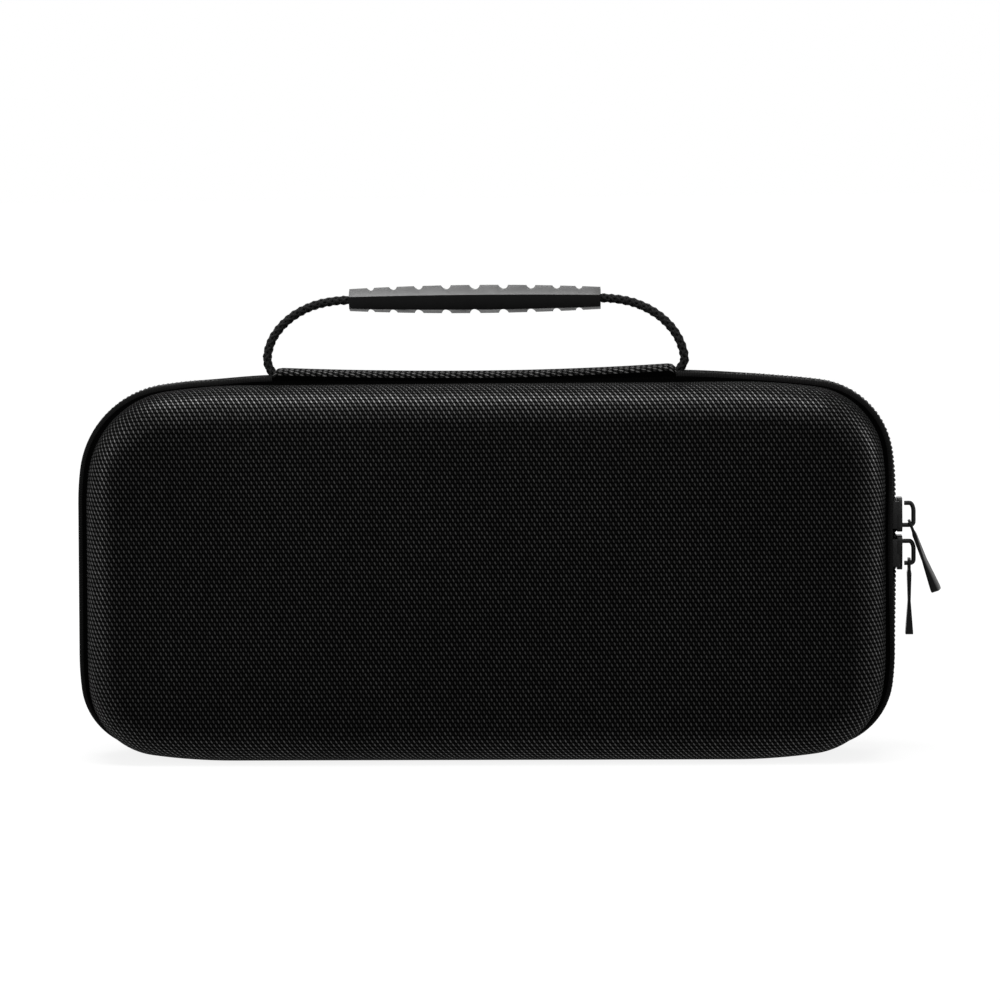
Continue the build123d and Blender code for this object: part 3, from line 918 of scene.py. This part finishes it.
def makeTapes():
    s = zipSizes
    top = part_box("lid_zip_tape")[1].z
    # (outwards from the zip's outline, towards the front): flat under the coil, then a plump roll beside it
    middle = (s["rollTop"] - s["roll"], s["rollFrom"])
    thin = s["roll"] - s["thickness"]
    outside = [(s["bed"], s["slot"]), (s["bed"], s["bedEdge"])]
    outside += arcPoints(middle, s["roll"], -52, 96, s["steps"]) + [(-s["tuck"], s["rim"])]
    inside = [(-s["tuck"], s["rim"] - s["thickness"])] + arcPoints(middle, thin, 90, -20, s["steps"])
    inside += [(s["bed"] - s["thickness"], s["bedEdge"]), (s["bed"] - s["thickness"], s["slot"])]
    section = outside + inside
    rail = zipRail()
    points = [Vector((rail[0]["place"].x, -front * mm, top + out * mm)) for out, front in section]
    piece = sweepPiece("lidTape", points, rail)
    # faces deep towards the rim wear near-black cloth: painted shade in the groove between the tape and the shell
    for part in piece.data.polygons:
        fronts = [-piece.data.vertices[v].co.y / mm for v in part.vertices]
        part.material_index = int(min(fronts) > s["grooveFrom"])
    liftBand(piece)
    leanLeft(piece)
    standOut(piece, lambda vertex: -s["drawBack"] if -vertex.co.y > s["bedEdge"] * mm else 0.0)
    smoothEdges(piece, 50)
    wear(piece, tapeWeave, seamShadeCloth)
    settleBoth(piece, "baseTape", "zip_tape", "lid_zip_tape", "base_zip_tape")
    print("zip tapes made,", len(piece.data.polygons), "faces each")


def makeCoils():
    s = zipSizes
    perTurn = s["pointsPerTurn"]
    near, far = s["coilReach"]
    under, over = s["coilHeight"]
    for name, body, node, side in (("lidCoil", "lid", "lid_zip_coil", -1), ("baseCoil", "base", "base_zip_coil", 1)):
        spots = railSpots(zipRail(), s["coilPitch"] * mm / perTurn)
        line, filler, cores, part = [], [], [[], []], 0
        for k, (place, outward, forward) in enumerate(spots):
            # the two coils are wound opposite ways, so that their heads mesh
            turn = 2 * math.pi * k / perTurn
            reach = (near + far) / 2 + side * (far - near) / 2 * math.cos(turn)
            height = (under + over) / 2 + (over - under) / 2 * math.sin(turn)
            line.append(place + outward * height * mm + Vector((0, side * reach * mm, 0)))
            if k % perTurn == 0:
                filler.append(place + outward * s["fillerHeight"] * mm + Vector((0, side * (near + far) / 2 * mm, 0)))
                # a thin cord shuts the slit, except where the sliders run
                if place.x > s["sliderSide"] * mm and s["sliderRun"][0] * mm < place.z < s["sliderRun"][1] * mm:
                    part = 1
                else:
                    cores[part].append(place + outward * s["coreHeight"] * mm + Vector((0, side * s["core"] * mm, 0)))
        tubes = [(line, 1.0), (filler, s["filler"] / s["wire"])] + [(core, s["core"] / s["wire"]) for core in cores]
        piece = drawTubes(name, tubes, s["wire"] * mm, 0)
        liftBand(piece, s["coilSink"])
        leanLeft(piece)
        standOut(piece, lambda vertex: s["standOut"])
        smoothEdges(piece, 80)
        wear(piece, coilNylon)
        settle(piece, body, "zip_coil", node)
    print("zip coils wound,", len(piece.data.polygons), "faces each")


makeTapes()
makeCoils()


# hinge: a woven strip and its lining, each in a front and a back half
hinge = {
    "steps": 96, "leftLift": 1.5, "rightLift": 2.0, "liftFrom": 121.5, "liftReach": 1.5,
    "overhang": 0.9, "endRound": 3.2, "endDrop": 1.5,
    # (towards the front, height): crown, rolled edge, turned-down skirt and back
    "strip": [(0, 124.9), (1.5, 124.86), (3.0, 124.7), (4.4, 124.4), (5.4, 123.95), (6.0, 123.5), (6.2, 122.95),
              (6.1, 122.5), (5.9, 122.2), (6.2, 121.6), (6.4, 120.9), (6.1, 120.9), (5.6, 121.7), (5.4, 122.1),
              (3.0, 122.5), (0, 122.6)],
    # the skirt after these spans wears the near-black seam cloth: painted shade
    "stripCloth": 6,  # the profile's spans in woven cloth, before the dark seam
    "lining": [(0, 122.4), (3.0, 122.3), (5.4, 122.0), (5.95, 121.4), (6.1, 120.4), (6.15, 117.8), (5.6, 117.8),
               (5.5, 120.0), (5.2, 120.9), (3.0, 121.4), (0, 121.5)],
    "fold": ((0, -5.6, 123.3), (0, -6.5, 121.2)), "liningFold": ((0, -5.0, 121.8), (0, -6.3, 118.6)),
}


def makeHingeHalf(name, profile, node, fold, lift, materials):
    low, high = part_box(node)
    if lift:
        low.x, high.x = low.x - hinge["overhang"] * mm, high.x + hinge["overhang"] * mm
    rail = buildRail((low.x, 0, 0), (1, 0, 0), [(high.x - low.x, 0, hinge["steps"])])
    points = [Vector((low.x, -front * mm, height * mm)) for front, height in hinge[profile]]
    piece = sweepPiece(name + "Front", points, rail)
    if lift:
        for spot in piece.data.uv_layers["cloth"].data:
            spot.uv = (spot.uv[1], spot.uv[0])
        # the skirt below the seam wears near-black cloth: painted shade where it dips into the groove above the shell
        seam = points[hinge["stripCloth"]].z + 1e-6
        for part in piece.data.polygons:
            part.material_index = int(max(piece.data.vertices[v].co.z for v in part.vertices) <= seam)
    if lift:
        middle, half = (low.x + high.x) / 2, (high.x - low.x) / 2
        for vertex in piece.data.vertices:
            share = (vertex.co.x - middle) / half
            rise = hinge["rightLift"] if share > 0 else hinge["leftLift"]
            weight = clamp((vertex.co.z / mm - hinge["liftFrom"]) / hinge["liftReach"])
            # the ends are turned under
            end = clamp(1 - half * (1 - abs(share)) / (hinge["endRound"] * mm))
            vertex.co.z += (rise * share ** 2 - hinge["endDrop"] * (1 - math.sqrt(1 - end ** 2))) * weight * mm
    smoothEdges(piece, 50)
    wear(piece, *materials)
    back = mirrorToBase(piece, name + "Back")
    start, end = (Vector(point) * mm for point in hinge[fold])
    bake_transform(piece)
    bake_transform(back)
    for cover in (piece, back):
        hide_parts(node)


makeHingeHalf("hingeStrip", "strip", "hinge_strip", "fold", True, [stripWeave, seamShadeCloth])
makeHingeHalf("hingeLining", "lining", "hinge_lining", "liningFold", False, [liningKnit])
print("hinge made")


# stopper knots under the hinge
knots = {"size": 1.05, "swell": 0.45, "rise": 0.75, "wire": 0.85, "points": 48, "inset": 2.4,
         "length": 16.0, "girth": 5.0}


def makeKnots():
    low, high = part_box("cord_knots")
    lines = []
    for x in (low.x + knots["inset"] * mm, high.x - knots["inset"] * mm):
        line = []
        for k in range(knots["points"]):
            t = 2 * math.pi * k / knots["points"]
            ring = knots["size"] * (1 + knots["swell"] * math.cos(3 * t))
            line.append(Vector((x / mm + ring * math.cos(2 * t), ring * math.sin(2 * t),
                                low.z / mm + knots["inset"] + knots["rise"] * math.sin(3 * t))) * mm)
        lines.append((line, 1.0))
    piece = drawTubes("cordKnots", lines, knots["wire"] * mm, 2, loop=True)
    tubeCloth(piece, knots["length"] * mm, knots["girth"] * mm)
    smoothEdges(piece, 60)
    wear(piece, cordYarn)
    settle(piece, "spine", "cord", "cord_knots")
    print("knots tied")


makeKnots()


# dark tabs that close the strip's ends round the cord
tabs = {"reach": (-2.1, 1.7), "half": 5.2, "low": 120.4, "top": 123.0, "round": 1.1}


def roundedBlock(name, low, high, edge, segments=3):
    low, high = Vector(low), Vector(high)
    bpy.ops.object.select_all(action="DESELECT")
    bpy.ops.mesh.primitive_cube_add(size=1, location=(low + high) / 2)
    piece = bpy.context.object
    piece.name = piece.data.name = name
    piece.scale = high - low
    bpy.ops.object.transform_apply(location=True, rotation=True, scale=True)
    rounded = piece.modifiers.new("edges", "BEVEL")
    rounded.width, rounded.segments = edge, segments
    applyAll(piece)
    return piece


def makeTabs():
    for name, side in (("leftTab", -1), ("rightTab", 1)):
        foot = cord["middle"] + side * cord["foot"]
        ends = sorted(foot - side * reach for reach in tabs["reach"])
        piece = roundedBlock(name, Vector((ends[0], -tabs["half"], tabs["low"])) * mm,
                             Vector((ends[1], tabs["half"], tabs["top"])) * mm, tabs["round"] * mm)
        clothFlat(piece, (1, 0, 0), (0, 1, 0))
        smoothEdges(piece, 40)
        wear(piece, seamShadeCloth)
        settle(piece, "spine", "lining")
    print("tabs made")


makeTabs()


# sliders and pulls: the solids with their edges rounded, and new bridges
hardware = {
    "edge": 0.16, "segments": 2, "flangeFrom": 3.3, "flangeTo": 4.15, "flangeReach": (130.9, 133.6),
    "flangeInset": 1.0, "flangeRound": 0.25,
    # the upper pull hangs turned about its own length
    "pivot": (136.75, 0.0, 75.5), "tilt": 21.0, "twist": 17.0, "twistFrom": 3.0, "twistTo": 9.0,
}


def dressSolid(node, name):
    piece = bpy.data.objects.new(name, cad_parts[node].data.copy())
    piece.data.name = name
    bpy.context.scene.collection.objects.link(piece)
    takeUp(piece)
    bpy.ops.mesh.customdata_custom_splitnormals_clear()
    editAll(piece)
    bpy.ops.mesh.remove_doubles(threshold=2e-6)
    bpy.ops.mesh.dissolve_limited(angle_limit=math.radians(1))
    bpy.ops.mesh.normals_make_consistent(inside=False)
    if "slider" in node:
        # the flat bridge goes, and a round one takes its place
        bpy.ops.mesh.select_all(action="SELECT")
        bpy.ops.mesh.bisect(plane_co=(bridge["plate"] * mm + 1e-5, 0, 0), plane_no=(1, 0, 0), use_fill=True,
                            clear_outer=True)
    bpy.ops.object.mode_set(mode="OBJECT")
    rounded = piece.modifiers.new("edges", "BEVEL")
    rounded.width, rounded.segments = hardware["edge"] * mm, hardware["segments"]
    rounded.angle_limit = math.radians(40)
    applyAll(piece)
    smoothEdges(piece, 35)
    if "slider" in node:
        piece = joinPieces(name, [piece, makeBridge(node), *makeFlanges(node)])
    if node == "upper_pull":
        twistPull(piece)
    wear(piece, sliderEnamel)
    settle(piece, node, "slider_metal", node)


# the bar that the pull hangs from, open by a narrow gap at the tail end
bridge = {
    "plate": 134.45, "wire": 0.75, "wide": 0.95,
    "bend": [(1.7, 3.56), (3.0, 3.56), (3.74, 1.9), (3.74, 0.0), (3.74, -1.6), (3.74, -2.9), (3.1, -3.56),
             (1.7, -3.56)],
    "foot": -0.5, "open": 0.75,
}


def makeBridge(node):
    low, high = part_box(node)
    middle = (low.z + high.z) / 2
    ends = (bridge["open"], bridge["foot"]) if node == "upper_slider" else (bridge["foot"], bridge["open"])
    route = [(ends[0], bridge["bend"][0][1]), *bridge["bend"], (ends[1], bridge["bend"][-1][1])]
    places = [((bridge["plate"] + x) * mm, 0, middle + z * mm) for x, z in route]
    piece = drawCurve([(places, 1.0)], "NURBS", 5)
    piece.data.bevel_depth, piece.data.bevel_resolution = bridge["wire"] * mm, 3
    piece.data.use_fill_caps = True
    bpy.ops.object.convert(target="MESH")
    piece = bpy.context.object
    for vertex in piece.data.vertices:
        vertex.co.y *= bridge["wide"] / bridge["wire"]
    closeUp(piece, 2e-6)
    smoothEdges(piece, 50)
    return piece


# the turned-down sides that hold the coil
def makeFlanges(node):
    low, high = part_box(node)
    near, far = hardware["flangeReach"]
    flanges = []
    for name, side in (("lidFlange", -1), ("baseFlange", 1)):
        ys = sorted((side * hardware["flangeFrom"] * mm, side * hardware["flangeTo"] * mm))
        flange = roundedBlock(name, (near * mm, ys[0], low.z + hardware["flangeInset"] * mm),
                              (far * mm, ys[1], high.z - hardware["flangeInset"] * mm),
                              hardware["flangeRound"] * mm, 2)
        smoothEdges(flange, 35)
        flanges.append(flange)
    return flanges


def twistPull(piece):
    h = hardware
    pivot, tilt = Vector(h["pivot"]) * mm, math.radians(h["tilt"])
    down = Vector((math.sin(tilt), 0, -math.cos(tilt)))
    for vertex in piece.data.vertices:
        run = (vertex.co - pivot).dot(down) / mm
        share = clamp((run - h["twistFrom"]) / (h["twistTo"] - h["twistFrom"]))
        turn = math.radians(h["twist"]) * ease(share)
        vertex.co = pivot + Matrix.Rotation(turn, 3, down) @ (vertex.co - pivot)


for node, name in (("upper_slider", "upperSlider"), ("lower_slider", "lowerSlider"),
                   ("upper_pull", "upperPull"), ("lower_pull", "lowerPull")):
    dressSolid(node, name)
print("sliders and pulls dressed")


# inside: binding round each rim, straps in the base, a net pocket in the lid
inside = {
    "bindingWall": 4.0, "binding": 0.9, "bindingDepth": (5.5, 11.4), "bindingStitch": 3.1,
    "strapRibs": 8, "ribDepth": 0.22, "strapSteps": 40, "strapBow": 0.7, "foldLength": 10.5, "foldRise": 0.45,
    "boxWide": 19.0, "boxTall": 7.5, "stitchPitch": 2.3, "stitchLength": 1.7, "thread": 0.19,
    "netCell": 2.6, "netStrand": 0.6, "netCorner": 22.0,
    "hemSteps": 200, "gather": 0.22, "gatherPitch": 4.6, "hemStitch": 2.7,
}


# one stitch: a bit of thread that comes up, lies on the cloth and goes down
def stitchAt(place, along, up):
    half, rise = inside["stitchLength"] / 2 * mm, inside["thread"] * 0.7 * mm
    return [place - along * half - up * rise, place - along * half * 0.7 + up * rise,
            place + along * half * 0.7 + up * rise, place + along * half - up * rise]


def stitchRow(start, end, up, pitch):
    start, end = Vector(start), Vector(end)
    count = max(1, round((end - start).length / (pitch * mm)))
    along = (end - start).normalized()
    return [(stitchAt(start.lerp(end, (k + 0.5) / count), along, Vector(up)), 1.0) for k in range(count)]


def sew(name, lines, body):
    piece = drawTubes(name, lines, inside["thread"] * mm, 0)
    tubeCloth(piece, 2 * mm, 1 * mm)
    smoothEdges(piece, 80)
    wear(piece, cordYarn)
    return settle(piece, body, "cord")


def makeBindings():
    low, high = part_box("front_shell")
    near, far = inside["bindingDepth"]
    out = -inside["bindingWall"] - 0.02
    thick, middle = inside["binding"], (near + far) / 2
    # rounded edges, a little fuller in the middle
    section = [(out, near), (out, far), (out - thick * 0.5, far + 0.1), (out - thick * 0.9, far - 0.25),
               (out - thick - 0.05, far - 1.2), (out - thick - 0.15, middle), (out - thick - 0.05, near + 1.2),
               (out - thick * 0.9, near + 0.25), (out - thick * 0.5, near - 0.1)]
    points = [Vector((0, -front * mm, high.z + o * mm)) for o, front in section]
    piece = drawProfile("lidBinding", points)
    rail = railRound("shell")
    stations = sweepAlong(piece, rail)
    clothAlong(piece, stations, runLengths(points, True), len(points), True)
    closeUp(piece)
    leanLeft(piece)
    smoothEdges(piece, 50)
    wear(piece, bindingRib)
    settleBoth(piece, "baseBinding", "binding", "lid_binding", "base_binding")
    lines = []
    for place, outward, forward in railSpots(rail, inside["bindingStitch"] * mm):
        for front in (near + 1.1, far - 1.1):
            top = place + outward * (out - thick - 0.05) * mm - Vector((0, front * mm, 0))
            lines.append((stitchAt(top, forward, -outward), 1.0))
    seam = sew("lidBindingSeam", lines, "lid")
    leanLeft(seam)
    settle(mirrorToBase(seam, "baseBindingSeam"), "base", "cord")
    print("bindings sewn,", len(lines), "stitches each")


def makeStraps():
    ribs = inside["strapRibs"]
    for node, name in (("left_strap", "leftStrap"), ("right_strap", "rightStrap")):
        low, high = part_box(node)
        width, middle = high.x - low.x, (low.x + high.x) / 2
        # ribbed on the side that faces the console
        dips = [inside["ribDepth"] * mm * (0.5 + 0.5 * math.cos(k * math.pi / 2)) for k in range(ribs * 4 + 1)]
        front = [(low.x + width * k / (ribs * 4), low.y + dip) for k, dip in enumerate(dips)]
        section = [(low.x, high.y), *front, (high.x, high.y)]
        piece = drawProfile(name, [Vector((x, y, low.z)) for x, y in section])
        rail = buildRail((0, 0, low.z), (0, 0, 1), [(high.z - low.z, 0, inside["strapSteps"])])
        sweepAlong(piece, rail)
        capEnds(piece, len(section))
        closeUp(piece)
        clothFlat(piece, (1, 0, 0), (0, 0, 1))
        # the ends are folded under and sewn down, and between them the elastic bows a little
        for vertex in piece.data.vertices:
            inner = min(vertex.co.z - low.z, high.z - vertex.co.z) / mm - inside["foldLength"]
            share = (vertex.co.z - low.z) / (high.z - low.z)
            step = clamp(0.5 - inner)
            bow = inside["strapBow"] * math.sin(math.pi * share) ** 2
            if vertex.co.y < high.y - 0.4 * mm:
                vertex.co.y -= (inside["foldRise"] * step + bow) * mm
            else:
                vertex.co.y -= bow * mm
        smoothEdges(piece, 40)
        wear(piece, elasticRib)
        settle(piece, "base", "strap_elastic", node)
        lines = []
        wide, tall = inside["boxWide"] / 2 * mm, inside["boxTall"] / 2 * mm
        top = low.y - (inside["foldRise"] - 0.02) * mm
        for z in (low.z + inside["foldLength"] * mm / 2, high.z - inside["foldLength"] * mm / 2):
            ring = [Vector((middle + x * wide, top, z + y * tall)) for x, y in ((-1, -1), (1, -1), (1, 1), (-1, 1))]
            for start, end in ((0, 1), (1, 2), (2, 3), (3, 0), (0, 2), (1, 3)):
                lines += stitchRow(ring[start], ring[end], (0, -1, 0), inside["stitchPitch"])
        sew(name + "Seam", lines, "base")
    print("straps sewn")


def makeNet():
    low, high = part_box("mesh_pocket")
    cell = inside["netCell"] * mm
    width, height = high.x - low.x, high.z - low.z
    across, up = round(width / cell), round(height / cell)
    bpy.ops.object.select_all(action="DESELECT")
    bpy.ops.mesh.primitive_grid_add(x_subdivisions=across, y_subdivisions=up, size=1,
                                    location=(0, (low.y + high.y) / 2, (low.z + high.z) / 2),
                                    rotation=(math.pi / 2, 0, 0))
    piece = bpy.context.object
    piece.name = piece.data.name = "pocketNet"
    piece.scale = (width, height, 1)
    bpy.ops.object.transform_apply(location=True, rotation=True, scale=True)
    corner = inside["netCorner"] * mm

    def outside(vertex):
        x, z = high.x - abs(vertex.co.x), vertex.co.z - low.z
        return x < corner and z < corner and math.hypot(corner - x, corner - z) > corner

    editSome(piece, outside)
    bpy.ops.mesh.delete(type="VERT")
    bpy.ops.object.mode_set(mode="OBJECT")
    net = piece.modifiers.new("net", "WIREFRAME")
    net.thickness = inside["netStrand"] * mm
    applyAll(piece)
    clothFlat(piece, (1, 0, 0), (0, 0, 1))
    wear(piece, elasticRib)
    settle(piece, "lid", "pocket_mesh", "mesh_pocket")
    print("net made,", len(piece.data.polygons), "faces")


def makeHem():
    low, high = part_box("pocket_hem")
    depth, tall = (high.y - low.y) / 2, (high.z - low.z) / 2
    middle = (low + high) / 2
    section = [(math.copysign(abs(math.cos(a)) ** 0.6, math.cos(a)) * depth,
                math.copysign(abs(math.sin(a)) ** 0.6, math.sin(a)) * tall)
               for a in (2 * math.pi * k / 16 for k in range(16))]
    points = [Vector((low.x, middle.y + y, middle.z + z)) for y, z in section]
    rail = buildRail((low.x, 0, 0), (1, 0, 0), [(high.x - low.x, 0, inside["hemSteps"])])
    piece = sweepPiece("pocketHem", points, rail)

    # the elastic inside gathers the cloth
    def gather(x, z):
        wave = 2 * math.pi * x / (inside["gatherPitch"] * mm) + 1.3 * math.sin(x / (17 * mm))
        deep = inside["gather"] * mm
        return deep * math.sin(wave + z * 120), 0.6 * deep * math.sin(wave * 0.5 + 1)

    for vertex in piece.data.vertices:
        y, z = gather(vertex.co.x, vertex.co.z)
        vertex.co.y += y
        vertex.co.z += z
    smoothEdges(piece, 60)
    wear(piece, elasticRib)
    settle(piece, "lid", "strap_elastic", "pocket_hem")
    lines = []
    count = int((high.x - low.x) / (inside["hemStitch"] * mm))
    for z in (middle.z - tall * 0.5, middle.z + tall * 0.5):
        for k in range(count):
            x = low.x + (k + 0.5) * inside["hemStitch"] * mm
            y, up = gather(x, z)
            place = Vector((x, middle.y + depth * 0.97 + y, z + up))
            lines.append((stitchAt(place, Vector((1, 0, 0)), Vector((0, 1, 0))), 1.0))
    sew("hemSeam", lines, "lid")
    print("hem gathered,", len(lines), "stitches")


makeBindings()
makeStraps()
makeNet()
makeHem()


# floor, background and lamps
def whiteRays(tree):
    ray = addNode(tree, "ShaderNodeLightPath").outputs
    seen = calc(tree, "MAXIMUM", ray["Is Camera Ray"], ray["Is Glossy Ray"])
    return calc(tree, "MAXIMUM", seen, ray["Is Transmission Ray"])


def addFloor():
    bpy.ops.object.select_all(action="DESELECT")
    bpy.ops.mesh.primitive_plane_add(size=60, location=(0, 0, -0.0002))
    floor = bpy.context.object
    floor.name = "floor"
    material, tree, shader = newMaterial("studio floor", 0.9, 0.0)
    shader.inputs["Base Color"].default_value = grey(studio["floorTone"])
    shader.inputs["Emission Color"].default_value = (1, 1, 1, 1)
    # white all the way out, with the shadow kept near the case
    place = addNode(tree, "ShaderNodeTexCoord").outputs["Object"]
    away = addNode(tree, "ShaderNodeVectorMath", {0: place}, operation="LENGTH").outputs["Value"]
    near, far = studio["floorReach"]
    share = ramp(tree, away, (near * mm, far * mm), (studio["floorLift"], 1.0))
    tree.links.new(calc(tree, "MULTIPLY", whiteRays(tree), share), shader.inputs["Emission Strength"])
    wear(floor, material)


def addWorld():
    world = bpy.data.worlds.new("studio")
    bpy.context.scene.world = world
    world.use_nodes = True
    tree = world.node_tree
    sky = tree.nodes["Background"]
    sky.inputs["Color"].default_value = (1, 1, 1, 1)
    strength = calc(tree, "MULTIPLY_ADD", whiteRays(tree), 1 - studio["worldGlow"], studio["worldGlow"])
    tree.links.new(strength, sky.inputs["Strength"])


def addLamps():
    for place, width, height, watts in studio["lamps"]:
        spot = Vector(place) * mm
        bpy.ops.object.light_add(type="AREA", location=spot, rotation=lookAt(spot, Vector(studio["lampAim"]) * mm))
        lamp = bpy.context.object.data
        lamp.shape, lamp.size, lamp.size_y, lamp.energy = "RECTANGLE", width * mm, height * mm, watts


addFloor()
addWorld()
addLamps()
bpy.context.scene.view_settings.view_transform = "Standard"
bpy.ops.object.select_all(action="DESELECT")
print("studio lit")
